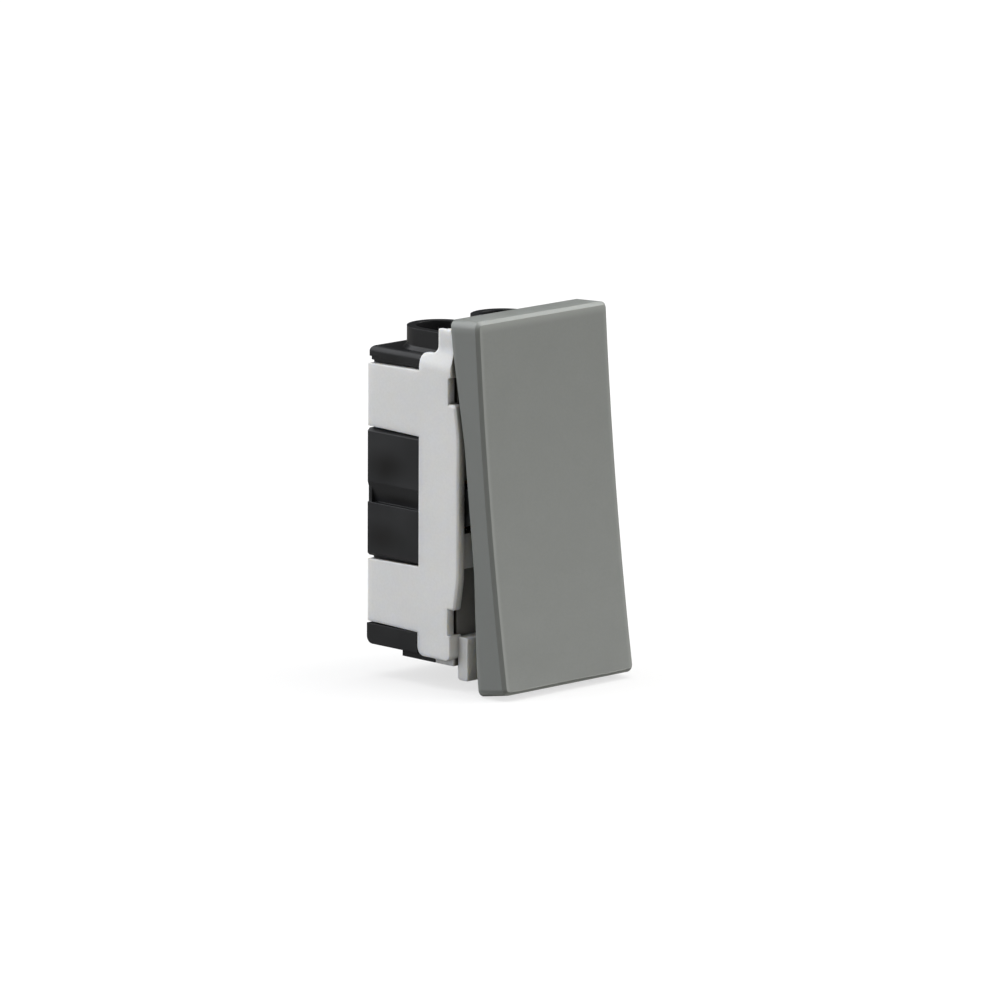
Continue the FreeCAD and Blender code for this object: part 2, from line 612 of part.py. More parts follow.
def dress_block(body):
    """Bevel the side pads and round the housing's long edges."""
    dress(body, "Chamfer", "pad_bevels", D.pad_bevel, lambda edge: runs_along(edge, 1)
          and near(abs(middle(edge).x), PAD_X) and near(abs(middle(edge).z), PAD_END))
    dress(body, "Fillet", "bottom_round", D.edge_round, lambda edge: runs_along(edge, 0)
          and near(middle(edge).y, D.rear) and near(middle(edge).z, -HOUSE_BOTTOM))
    dress(body, "Fillet", "top_rounds", D.top_round, lambda edge:
          near(middle(edge).z, HOUSE_TOP)
          and (runs_along(edge, 1) and near(abs(middle(edge).x), TOP_FLANK_X)
               or runs_along(edge, 0) and near(middle(edge).y, D.rear)))


def add_well(body, name, x, way, floor, front):
    """Wall of a screw well: a half round at the rear with straight sides that run to the front."""
    low, high = in_order(way * (floor - D.well_root), way * WELL_TOP)
    pad(body, f"{name}_well_round", "XY", low, high, circle(x, D.well_y, D.well_radius))
    pad(body, f"{name}_well_sides", "XY", low, high,
        rectangle(x - D.well_radius, x + D.well_radius, front, D.well_y))


def slope_feet(body):
    """Slope the corner where the upper screw wells rise from the housing."""
    def foot(edge):
        if edge.Curve.TypeId == "Part::GeomCircle":
            return near(edge.Curve.Radius, D.well_radius) and near(edge.Curve.Center.z, HOUSE_TOP)
        away = abs(abs(middle(edge).x) - D.well_x.value)
        return runs_along(edge, 1) and near(away, D.well_radius) and near(middle(edge).z, HOUSE_TOP)

    dress(body, "Chamfer", "well_feet", D.well_foot, foot)


def hollow_out(body):
    """Chambers for the contacts and the terminals, open to the front, and the room for the strips."""
    terminal_low = D.chamber_z + D.chamber_wall
    pocket(body, "strip_layer", "XZ", D.strip_room, INNER_REAR,
           rectangle(-CAVITY_X, CAVITY_X, -TERMINAL_END, TERMINAL_END))
    pocket(body, "contact_chamber", "XZ", BLOCK_FRONT, D.strip_room,
           rectangle(-CAVITY_X, CAVITY_X, -D.chamber_z, D.chamber_z))
    for side, name in ((-1, "left"), (1, "right")):
        low, high = in_order(side * D.rib_wall / 2, side * CAVITY_X)
        pocket(body, f"{name}_chamber", "XZ", BLOCK_FRONT, D.strip_room,
               rectangle(low, high, terminal_low, TERMINAL_END))
    pocket(body, "low_chamber", "XZ", BLOCK_FRONT, D.strip_room,
           rectangle(-COMMON_ROOM, COMMON_ROOM, -TERMINAL_END, -terminal_low))


def terminals():
    """Name, middle and up or down sense of each terminal."""
    return (
        ("line_one", -D.well_x, 1),
        ("line_two", D.well_x, 1),
        ("common", ZERO, -1),
    )


def cut_terminal_ways(body):
    """Screw wells, screw holes and wire entries of the three terminals."""
    inner = D.well_radius - D.well_wall
    for name, x, way in terminals():
        floor = HOUSE_TOP if way > 0 else HOUSE_BOTTOM
        low, high = in_order(way * floor, way * WELL_TOP)
        pocket(body, f"{name}_well_bore", "XY", low, high, circle(x, D.well_y, inner))
        front = BLOCK_FRONT if way > 0 else LOW_WELL_FRONT
        pocket(body, f"{name}_well_slot", "XY", low, high,
               rectangle(x - inner, x + inner, front, D.well_y))
        low, high = in_order(way * TERMINAL_END, way * floor)
        pocket(body, f"{name}_head_hole", "XY", low, high,
               circle(x, D.well_y, D.head_radius + D.head_clearance))
        entry = way * (D.cage_low + D.cage_wall + D.wire_room / 2)
        pocket(body, f"{name}_entry", "XZ", INNER_REAR, D.rear, circle(x, entry, D.entry_radius))
    dress(body, "Chamfer", "entry_funnels", D.entry_funnel, lambda edge:
          edge.Curve.TypeId == "Part::GeomCircle" and near(edge.Curve.Radius, D.entry_radius)
          and near(middle(edge).y, D.rear))


def add_posts(body):
    """Two posts that stand through the frame deck and carry the pivot pins of the rocker."""
    for side, name in ((-1, "left"), (1, "right")):
        low, high = in_order(side * POST_INNER, side * POST_OUTER)
        pad(body, f"{name}_post", "YZ", low, high,
            rectangle(D.pivot_y, BLOCK_FRONT + D.deck_wall, -D.post_radius, D.post_radius))
        pad(body, f"{name}_post_round", "YZ", low, high,
            circle(D.pivot_y, ZERO, D.post_radius))
        pocket(body, f"{name}_bearing", "YZ", low, high,
               circle(D.pivot_y, ZERO, D.pin_radius + D.pin_gap))
        low, high = in_order(side * (BLOCK_X - D.catch_rise - D.snap_gap), side * BLOCK_X)
        for way, end in ((-1, "lower"), (1, "upper")):
            reach = D.catch_width / 2 + D.snap_gap
            pocket(body, f"{name}_{end}_catch_pocket", "YZ", low, high,
                   rectangle(D.catch_front - D.snap_gap, D.catch_rear + D.snap_gap,
                             way * CATCH_Z - reach, way * CATCH_Z + reach))


# Rocker

def make_paddle():
    """Grey paddle: a tray with a hollowed front, drawn level about its axis."""
    body = new_body("rocker_paddle")
    front = D.pivot_y - D.paddle_front
    skirt_mid = D.pivot_y - D.skirt_mid
    skirt_end = D.pivot_y - D.skirt_end
    inner = D.pivot_y - D.paddle_inner
    pad(body, "tray", "YZ", -D.paddle_x, D.paddle_x, polygon(
        (front, -D.paddle_front_z), (front, D.paddle_front_z),
        (skirt_end, PADDLE_REAR_Z), (skirt_end, D.skirt_turn),
        (skirt_mid, D.skirt_flat), (skirt_mid, -D.skirt_flat),
        (skirt_end, -D.skirt_turn), (skirt_end, -PADDLE_REAR_Z),
    ))
    half = D.paddle_front_z
    radius = (half * half + D.paddle_hollow * D.paddle_hollow) / (2 * D.paddle_hollow)
    pocket(body, "front_hollow", "YZ", -D.paddle_x, D.paddle_x,
           circle(front + D.paddle_hollow - radius, ZERO, radius))
    inner_z = D.paddle_front_z - D.end_wall
    pocket(body, "inside", "XZ", inner, skirt_end, rectangle(-SKIRT_INNER, SKIRT_INNER, -inner_z, inner_z))
    hook_start = D.carrier_z + D.tip_gap
    hook_rear = inner + D.carrier_wall + D.tip_gap
    for way, end in ((-1, "lower"), (1, "upper")):
        low, high = in_order(way * D.rib_z, way * (D.rib_z + D.rib_thick))
        pad(body, f"{end}_rib", "XZ", inner, inner + D.rib_rise,
            rectangle(-SKIRT_INNER, SKIRT_INNER, low, high))
        pad(body, f"{end}_hook", "YZ", -D.hook_width / 2, D.hook_width / 2, polygon(
            (inner, way * hook_start), (hook_rear, way * hook_start),
            (hook_rear, way * (hook_start - D.hook_nib)),
            (hook_rear + D.hook_nib, way * hook_start),
            (hook_rear + D.hook_nib, way * (hook_start + D.hook_wall)),
            (inner, way * (hook_start + D.hook_wall)),
        ))
    dress_paddle(body, skirt_mid, skirt_end)
    tip_over(body, -D.rocker_tilt.value, D.pivot_y.value)
    return body


def dress_paddle(body, skirt_mid, skirt_end):
    """Soft corners, a crisp bevel round the front and a small one round the rim."""
    def on_side(edge):
        return near(edge.BoundBox.XLength, ZERO) and near(abs(middle(edge).x), D.paddle_x)

    def corner(edge):
        return (on_side(edge) and abs(middle(edge).z) > D.paddle_front_z.value
                and edge.BoundBox.YLength > edge.BoundBox.ZLength)

    def long_front(edge):
        return (edge.Curve.TypeId == "Part::GeomCircle" and near(abs(middle(edge).x), D.paddle_x)
                and edge.Length > D.paddle_front_z.value / 2)

    def rim(edge):
        if runs_along(edge, 0):
            return near(middle(edge).y, skirt_end) and near(abs(middle(edge).z), PADDLE_REAR_Z)
        return (on_side(edge) and edge.BoundBox.YMin > skirt_mid.value - 0.01
                and edge.BoundBox.ZLength > D.paddle_corner.value)

    dress(body, "Fillet", "corners", D.paddle_corner, corner)
    dress(body, "Chamfer", "front_bevel", D.paddle_edge, long_front)
    dress(body, "Chamfer", "rim", D.rim_bevel, rim)


def make_carrier():
    """Inner part of the rocker: plate, two cheeks with pivot pins and the plunger guide."""
    body = new_body("rocker_carrier")
    plate_front = D.pivot_y - D.paddle_inner
    plate_rear = plate_front + D.carrier_wall
    pad(body, "plate", "XZ", plate_front, plate_rear,
        rectangle(-D.carrier_x, D.carrier_x, -D.carrier_z, D.carrier_z))
    for side, name in ((-1, "left"), (1, "right")):
        inner = side * (D.carrier_x - D.cheek_wall)
        outer = side * D.carrier_x
        low, high = in_order(inner, outer)
        pad(body, f"{name}_cheek", "YZ", low, high,
            rectangle(plate_front + D.carrier_wall / 2, D.pivot_y, -D.cheek_radius, D.cheek_radius))
        pad(body, f"{name}_cheek_round", "YZ", low, high, circle(D.pivot_y, ZERO, D.cheek_radius))
        low, high = in_order(inner, side * PIN_END)
        pad(body, f"{name}_pin", "YZ", low, high, circle(D.pivot_y, ZERO, D.pin_radius))
    pad(body, "guide", "XZ", plate_front + D.carrier_wall / 2, D.pivot_y + D.guide_end,
        circle(ZERO, ZERO, D.guide_radius))
    pocket(body, "bore", "XZ", D.pivot_y - D.guide_floor, D.pivot_y + D.guide_end,
           circle(ZERO, ZERO, D.plunger_radius + D.plunger_gap))
    tip_over(body, -D.rocker_tilt.value, D.pivot_y.value)
    return body


def make_plunger():
    """Round nosed pin with a peg that centres the spring."""
    body = new_body("plunger")
    start = D.pivot_y + D.plunger_start
    pad(body, "shank", "XZ", start, NOSE_END, circle(ZERO, ZERO, D.plunger_radius))
    pad(body, "peg", "XZ", start - D.peg_length, start, circle(ZERO, ZERO, D.peg_radius))
    dress(body, "Fillet", "nose", D.plunger_radius - D.tip_gap, lambda edge:
          edge.Curve.TypeId == "Part::GeomCircle" and near(middle(edge).y, NOSE_END))
    tip_over(body, -D.rocker_tilt.value, D.pivot_y.value)
    return body


def make_spring():
    """Coil spring between the floor of the bore and the plunger."""
    start = D.pivot_y.value - D.guide_floor.value + D.spring_wire.value / 2 + D.tip_gap.value
    end = D.pivot_y.value + D.plunger_start.value - D.spring_wire.value / 2 - D.tip_gap.value
    pitch = (end - start) / D.spring_turns.value
    radius = D.spring_radius.value
    helix = Part.makeHelix(pitch, end - start, radius)
    reach = D.spring_wire.value / 2
    corners = []
    for step in range(WIRE_SIDES + 1):
        turn = 2 * math.pi * step / WIRE_SIDES
        corners.append(FreeCAD.Vector(radius + reach * math.cos(turn), 0, reach * math.sin(turn)))
    section = Part.makePolygon(corners)
    coil = Part.Wire(helix).makePipeShell([section], True, True)
    coil.rotate(FreeCAD.Vector(), FreeCAD.Vector(1, 0, 0), -90)
    coil.translate(FreeCAD.Vector(0, start, 0))
    coil.rotate(FreeCAD.Vector(0, D.pivot_y.value, 0), FreeCAD.Vector(1, 0, 0), -D.rocker_tilt.value)
    feature = DOC.addObject("Part::Feature", "plunger_spring")
    feature.Label = "plunger_spring"
    feature.Shape = coil
    return feature


# Contacts

def make_bridge():
    """See-saw contact with a groove at the back that rocks on the fulcrum."""
    body = new_body("contact_bridge")
    rear = D.fulcrum_y - D.bridge_lift
    pad(body, "blade", "XZ", rear - D.bridge_wall, rear,
        rectangle(-D.bridge_x, D.bridge_x, -D.bridge_z, D.bridge_z))
    pocket(body, "groove", "YZ", -D.bridge_x, D.bridge_x,
           circle(D.fulcrum_y, ZERO, D.fulcrum_radius + D.fulcrum_gap))
    dress(body, "Fillet", "blade_ends", D.blade_round, lambda edge: runs_along(edge, 1))
    tip_over(body, D.bridge_tilt.value, D.fulcrum_y.value)
    return body


def make_tip(label, z, seat, height, way):
    """Silver contact tip: a disc with a rounded rim, standing off its seat towards +Y or -Y."""
    body = new_body(label)
    low, high = in_order(seat, seat + way * height)
    pad(body, "disc", "XZ", low, high, circle(ZERO, z, D.tip_radius))
    face = seat + way * height
    dress(body, "Chamfer", "rim", D.tip_bevel, lambda edge:
          edge.Curve.TypeId == "Part::GeomCircle" and near(middle(edge).y, face))
    return body


def make_moving_tips():
    tips = []
    for label, way in (("bridge_tip_upper", 1), ("bridge_tip_lower", -1)):
        tip = make_tip(label, way * D.tip_z, D.fulcrum_y - D.bridge_lift, D.tip_height, 1)
        tip_over(tip, D.bridge_tilt.value, D.fulcrum_y.value)
        tips.append(tip)
    return tips


def fixed_tip_place():
    """Height above the axis and front face of a fixed tip, from where a closed moving tip lies."""
    turn = math.radians(D.bridge_tilt.value)
    face = D.tip_height.value - D.bridge_lift.value
    z = D.tip_z.value * math.cos(turn) - face * math.sin(turn)
    rim = D.tip_z.value + D.tip_radius.value - D.tip_bevel.value
    y = D.fulcrum_y.value + face * math.cos(turn) + rim * math.sin(turn)
    return Length(z, repr(z)), Length(y + D.tip_gap.value, repr(y + D.tip_gap.value))


def make_fixed_tips():
    z, face = fixed_tip_place()
    tips = []
    for label, way in (("line_one_tip", 1), ("line_two_tip", -1)):
        tips.append(make_tip(label, way * z, STRIP_FRONT, STRIP_FRONT - face, -1))
    return tips


def add_tab(body, x, way):
    """The tab that reaches forward through the clamp cage."""
    low, high = in_order(way * TAB_LEVEL, way * (TAB_LEVEL + D.strip_wall))
    pad(body, "tab", "XY", low, high,
        rectangle(x - D.tab_width / 2, x + D.tab_width / 2, D.tab_front, INNER_REAR))


def make_line_strip(label, side, pad_way):
    """Brass strip of a line terminal: cross piece, long limb and contact pad on the rear wall."""
    body = new_body(label)
    cross_high = TAB_LEVEL + D.strip_wall + D.strip_drop
    x = side * D.well_x
    outer = side * LIMB_OUTER
    limb_inner = side * (LIMB_OUTER - D.limb_width)
    cross_inner = side * (D.well_x - D.tab_width / 2)
    far = -side * D.fixed_pad_x
    near_z, far_z = pad_way * D.fixed_pad_low, pad_way * D.fixed_pad_high
    first, last = (near_z, far_z) if pad_way > 0 else (far_z, near_z)
    pad(body, "blank", "XZ", STRIP_FRONT, INNER_REAR, polygon(
        (outer, cross_high), (outer, first), (far, first), (far, last),
        (limb_inner, last), (limb_inner, TAB_LEVEL),
        (cross_inner, TAB_LEVEL), (cross_inner, cross_high),
    ))
    add_tab(body, x, 1)
    return body


def make_common_strip():
    """Brass strip of the common terminal, with the fulcrum that the see-saw rocks on."""
    body = new_body("common_strip")
    cross_low = -(TAB_LEVEL + D.strip_wall + D.strip_drop)
    tab_x = D.tab_width / 2
    limb_inner = -D.common_limb_inner
    limb_outer = limb_inner - D.common_limb_width
    pad(body, "blank", "XZ", STRIP_FRONT, INNER_REAR, polygon(
        (limb_outer, cross_low), (tab_x, cross_low), (tab_x, -TAB_LEVEL),
        (limb_inner, -TAB_LEVEL), (limb_inner, -D.common_base),
        (D.fulcrum_x, -D.common_base), (D.fulcrum_x, D.common_base),
        (limb_outer, D.common_base),
    ))
    add_tab(body, ZERO, -1)
    pad(body, "fulcrum", "XZ", D.fulcrum_y, INNER_REAR,
        rectangle(-D.fulcrum_x, D.fulcrum_x, -D.fulcrum_radius, D.fulcrum_radius))
    pad(body, "fulcrum_nose", "YZ", -D.fulcrum_x, D.fulcrum_x,
        circle(D.fulcrum_y, ZERO, D.fulcrum_radius))
    return body


# Terminals

def make_cage(name, x, way):
    """Clamp cage: a square ring round the strip's tab, threaded at the screw's side."""
    body = new_body(f"{name}_cage")
    low, high = in_order(way * D.cage_low, way * CAGE_TOP)
    front, rear = D.well_y - D.cage_depth / 2, D.well_y + D.cage_depth / 2
    pad(body, "ring", "XZ", front, rear, rectangle(x - CAGE_HALF, x + CAGE_HALF, low, high))
    dress(body, "Fillet", "ring_edges", D.ring_round, lambda edge: runs_along(edge, 1))
    low, high = in_order(way * (D.cage_low + D.cage_wall), way * WINDOW_HIGH)
    pocket(body, "window", "XZ", front, rear,
           rectangle(x - CAGE_INNER, x + CAGE_INNER, low, high))
    low, high = in_order(way * WINDOW_HIGH, way * CAGE_TOP)
    pocket(body, "thread", "XY", low, high, circle(x, D.well_y, D.screw_radius + D.screw_gap))
    return body


def make_screw(name, x, way):
    """Terminal screw: its tip presses on the strip's tab, its slotted head stands in the well."""
    body = new_body(f"{name}_screw")
    tip = TAB_LEVEL + D.strip_wall + D.tip_gap
    top = SCREW_HEAD + D.head_height
    low, high = in_order(way * tip, way * SCREW_HEAD)
    pad(body, "shank", "XY", low, high, circle(x, D.well_y, D.screw_radius))
    low, high = in_order(way * SCREW_HEAD, way * top)
    pad(body, "head", "XY", low, high, circle(x, D.well_y, D.head_radius))
    dress(body, "Chamfer", "head_bevel", D.head_bevel, lambda edge:
          edge.Curve.TypeId == "Part::GeomCircle" and near(middle(edge).z, way * top))
    low, high = in_order(way * (top - D.slot_depth), way * top)
    pocket(body, "slot", "XY", low, high,
           rectangle(x - D.head_radius, x + D.head_radius,
                     D.well_y - D.slot_width / 2, D.well_y + D.slot_width / 2))
    return body


def make_terminals():
    made = []
    for name, x, way in terminals():
        made.append(make_cage(name, x, way))
        made.append(make_screw(name, x, way))
    return made


# Build, check and write

def build():
    nodes = [make_housing(), make_frame(), make_paddle(), make_carrier(), make_plunger()]
    nodes += [make_spring(), make_bridge(), make_common_strip()]
    nodes += make_moving_tips() + make_fixed_tips() + make_terminals()
    nodes += [make_line_strip("line_one_strip", -1, 1), make_line_strip("line_two_strip", 1, -1)]
    DOC.recompute()
    return nodes


def check(nodes):
    """Stop if any object failed or any sub-part has no valid shape."""
    for item in DOC.Objects:
        if "Invalid" in item.State or "Error" in item.State:
            raise RuntimeError(f"{item.Name} failed: {item.State}")
    for node in nodes:
        if node.Shape.isNull() or not node.Shape.isValid():
            raise RuntimeError(f"{node.Label} has no valid shape")


def write(nodes):
    os.makedirs("parts", exist_ok=True)
    for node in nodes:
        node.Shape.exportStep(f"parts/{node.Label}.step")
        print(node.Label, len(node.Shape.Solids), round(node.Shape.Volume, 3))


NODES = build()
check(NODES)
write(NODES)
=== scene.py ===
import math

import bmesh
import bpy
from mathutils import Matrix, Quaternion, Vector


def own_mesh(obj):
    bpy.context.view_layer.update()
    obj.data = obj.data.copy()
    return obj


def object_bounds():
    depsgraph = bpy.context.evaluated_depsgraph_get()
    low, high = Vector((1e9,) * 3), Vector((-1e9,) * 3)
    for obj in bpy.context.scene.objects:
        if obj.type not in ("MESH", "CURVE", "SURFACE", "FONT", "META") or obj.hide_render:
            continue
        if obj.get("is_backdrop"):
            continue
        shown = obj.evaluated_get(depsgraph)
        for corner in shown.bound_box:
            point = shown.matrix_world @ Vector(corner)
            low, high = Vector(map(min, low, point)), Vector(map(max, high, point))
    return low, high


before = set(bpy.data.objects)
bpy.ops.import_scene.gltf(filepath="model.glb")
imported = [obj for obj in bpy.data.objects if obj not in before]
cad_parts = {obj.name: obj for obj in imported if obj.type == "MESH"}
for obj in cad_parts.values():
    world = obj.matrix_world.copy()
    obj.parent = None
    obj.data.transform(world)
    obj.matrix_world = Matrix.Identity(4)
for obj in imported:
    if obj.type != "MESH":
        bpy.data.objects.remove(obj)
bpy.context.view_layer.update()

bl_info = {
    "name": "Modular Rocker Switch",
    "version": (1, 0, 0),
    "blender": (4, 5, 0),
    "location": "View3D > Sidebar > Switch",
    "description": "Dresses a modular rocker switch and its studio stage",
    "category": "Object",
}

MM = 0.001

# How the switch stands: the paddle's tilt at rest and the directions along it
REST_TILT = math.radians(6.4)
RIGHT = Vector((1, 0, 0))
UP = Vector((0, 0, 1))
PADDLE_UP = Vector((0, math.sin(REST_TILT), math.cos(REST_TILT)))
PADDLE_REAR = Vector((0, math.cos(REST_TILT), -math.sin(REST_TILT)))

# Grain of the moulded plastics
CLOUD_SIZE = 7 * MM
SPECK_SIZE = 0.35 * MM
SPECK_DEPTH = 0.004 * MM
SPECK_SHARE = 0.35
SPECK_SHADE = 0.9
WEAR_SIZE = 6 * MM
SINK_LENGTH = 14 * MM
PLASTIC_IOR = 1.5
PLASTIC_SCATTER = (1.0, 0.92, 0.78)

# Grain of the metals
STREAK_SIZE = 0.5 * MM
STREAK_DEPTH = 0.006 * MM
PATCH_SIZE = 2.2 * MM
PATCH_SHARE = 0.6

# Painted shade on the frame's inside, whose colour is painted darker as if in shadow: half its
# width, its front, how strongly it is darkened, and how wide its recesses are, which are painted
# darker too
INSIDE_HALF = 10.9 * MM
INSIDE_FRONT = 2.0 * MM
INSIDE_SHADE_SHARE = 0.6
RECESS_REACH = 5 * MM

# Painted light along the paddle's edges: paler strips painted where light shows through its sides,
# rear and top, and where the floor lights its bottom. Each row gives a direction, how many
# millimetres inside the outermost point the shade starts and is full, and its factor
PADDLE_PAINTED_LIGHT = (
    (RIGHT, 1.2, 0.6, 1.18),
    (-RIGHT, 1.2, 0.6, 1.18),
    (RIGHT, 0.52, 0.42, 1.0),
    (-RIGHT, 0.52, 0.42, 1.0),
    (PADDLE_REAR, 1.1, 0.2, 1.25),
    (PADDLE_UP, 2.0, 0.8, 1.35),
    (PADDLE_UP, 0.4, 0.1, 1.0),
    (-PADDLE_UP, 0.9, 0.3, 1.9),
)

# Painted shade on the housing's top and bottom, which are painted darker: a direction, where the
# shade starts and is full, its factor
HOUSING_PAINTED_SHADE = (
    (UP, 14 * MM, 16 * MM, 0.55),
    (-UP, 15 * MM, 17 * MM, 0.75),
)

# Painted shade on the side pads: dark oval patches painted as dark reflections on the pads and as
# shade in the
# groove between them, in millimetres: the middle's Y and Z, the oval's reach along Y and Z, and its
# factor
PAD_PAINTED_SHADE = (
    (14.3, 3.9, 5.4, 3.2, 0.1),
    (14.3, -6.2, 5.4, 3.4, 0.05),
    (11.5, -0.6, 7.0, 1.1, 0.1),
)
PAD_PAINTED_SHADE_DEPTH = 2.5 * MM

# Soft lights in degrees: azimuth from the camera's, elevation from level, and the light's width
LIGHTS = (
    ("right", 90, 25, 64),
    ("left", -90, 22, 84),
    ("top", 180, 84, 60),
    ("crest", 127, 46, 26),
    ("fill", 0, 8, 50),
)

# The camera's sensor in millimetres, and the point it aims at, to the right and up in its view
SENSOR_WIDTH = 36
AIM_RIGHT = -3.19 * MM
AIM_UP = -0.37 * MM
FLOOR_HALF = 12
FLOOR_GAP = 0.05 * MM
FLOOR_GRAIN = 40 * MM


# Node groups of a material, in a small builder

class Shader:
    """Builds one material out of nodes, read in Object coordinates."""

    def __init__(self, name):
        self.material = bpy.data.materials.new(name)
        self.material.use_nodes = True
        self.tree = self.material.node_tree
        self.tree.nodes.clear()
        self.out = self.add("ShaderNodeOutputMaterial")
        self.surface = self.add("ShaderNodeBsdfPrincipled")
        self.link(self.surface.outputs["BSDF"], self.out.inputs["Surface"])
        self.place = self.add("ShaderNodeTexCoord").outputs["Object"]

    def add(self, kind):
        """Adds a node."""
        return self.tree.nodes.new(kind)

    def link(self, source, target):
        """Joins an output to an input."""
        self.tree.links.new(source, target)

    def set(self, **values):
        """Sets numbers and colours on the surface's own sockets, named with _ for a space."""
        for name, value in values.items():
            self.surface.inputs[name.replace("_", " ")].default_value = value

    def noise(self, size, detail=2.0, rough=0.5, stretch=(1, 1, 1)):
        """Noise whose spots are about as large as size, in metres."""
        mapping = self.add("ShaderNodeMapping")
        mapping.inputs["Scale"].default_value = stretch
        self.link(self.place, mapping.inputs["Vector"])
        node = self.add("ShaderNodeTexNoise")
        node.inputs["Scale"].default_value = 1 / size
        node.inputs["Detail"].default_value = detail
        node.inputs["Roughness"].default_value = rough
        self.link(mapping.outputs["Vector"], node.inputs["Vector"])
        return node.outputs["Fac"]

    def spread(self, value, low, high, start=0.3, end=0.7):
        """Maps a value that runs from start to end smoothly to the range from low to high."""
        node = self.add("ShaderNodeMapRange")
        node.interpolation_type = "SMOOTHSTEP"
        node.inputs["From Min"].default_value = start
        node.inputs["From Max"].default_value = end
        node.inputs["To Min"].default_value = low
        node.inputs["To Max"].default_value = high
        self.link(value, node.inputs["Value"])
        return node.outputs["Result"]

    def mix(self, factor, first, second):
        """Mixes two colours, or sockets, by a value."""
        node = self.add("ShaderNodeMix")
        node.data_type = "RGBA"
        for socket, item in ((node.inputs[6], first), (node.inputs[7], second)):
            if isinstance(item, bpy.types.NodeSocket):
                self.link(item, socket)
            else:
                socket.default_value = (*item[:3], 1)
        self.link(factor, node.inputs["Factor"])
        return node.outputs[2]

    def measure(self, operation, *items):
        """Takes the dot product of two vectors, or the length of one."""
        node = self.add("ShaderNodeVectorMath")
        node.operation = operation
        for socket, item in zip(node.inputs, items):
            if isinstance(item, bpy.types.NodeSocket):
                self.link(item, socket)
            else:
                socket.default_value = item
        return node.outputs["Value"]

    def soften(self, radius):
        """Rounds the shading over sharp edges."""
        node = self.add("ShaderNodeBevel")
        node.samples = 6
        node.inputs["Radius"].default_value = radius
        return node.outputs["Normal"]

    def painted_edge_highlight(self, width):
        """Where the painted edge highlight goes: one along the edges of the shape and nought away
        from them.
        """
        flat = self.add("ShaderNodeNewGeometry").outputs["True Normal"]
        return self.spread(self.measure("DOT_PRODUCT", self.soften(width), flat), 1, 0, 0.93, 0.998)

    def waves(self, length):
        """Even smooth waves across the three axes."""
        node = self.add("ShaderNodeTexWave")
        node.bands_direction = "DIAGONAL"
        node.inputs["Scale"].default_value = math.tau / (10 * length)
        self.link(self.place, node.inputs["Vector"])
        return node.outputs["Fac"]

    def height(self, up, low, high):
        """Nought at low and one at high, measured along a direction."""
        return self.spread(self.measure("DOT_PRODUCT", self.place, up), 0, 1, low, high)

    def oval(self, middle, size):
        """One at a middle and nought at the edge of the oval round it."""
        node = self.add("ShaderNodeMapping")
        node.inputs["Location"].default_value = [-part / reach for part, reach in zip(middle, size)]
        node.inputs["Scale"].default_value = [1 / reach for reach in size]
        self.link(self.place, node.inputs["Vector"])
        return self.spread(self.measure("LENGTH", node.outputs["Vector"]), 1, 0, 0, 1)

    def inside(self, half, front, share):
        """A share within half of the middle plane and behind front, and nought outside."""
        axes = self.add("ShaderNodeSeparateXYZ")
        self.link(self.place, axes.inputs["Vector"])
        side = self.add("ShaderNodeMath")
        side.operation = "ABSOLUTE"
        self.link(axes.outputs["X"], side.inputs[0])
        across = self.spread(side.outputs["Value"], 1, 0, half - 0.2 * MM, half)
        along = self.spread(axes.outputs["Y"], 0, share, front - 0.3 * MM, front)
        both = self.add("ShaderNodeMath")
        both.operation = "MULTIPLY"
        self.link(across, both.inputs[0])
        self.link(along, both.inputs[1])
        return both.outputs["Value"]

    def shelter(self, reach):
        """One in the open and nought deep in a recess as wide as reach."""
        node = self.add("ShaderNodeAmbientOcclusion")
        node.samples = 8
        node.inputs["Distance"].default_value = reach
        return self.spread(node.outputs["AO"], 0, 1, 0.05, 0.75)

    def bump(self, height, distance, strength, under):
        """Raises the surface by a value, on top of the normal under it."""
        node = self.add("ShaderNodeBump")
        node.inputs["Strength"].default_value = strength
        node.inputs["Distance"].default_value = distance
        self.link(height, node.inputs["Height"])
        self.link(under, node.inputs["Normal"])
        return node.outputs["Normal"]


def shade(colour, factor):
    """A darker or paler shade of a colour."""
    return tuple(min(1.0, part * factor) for part in colour[:3])


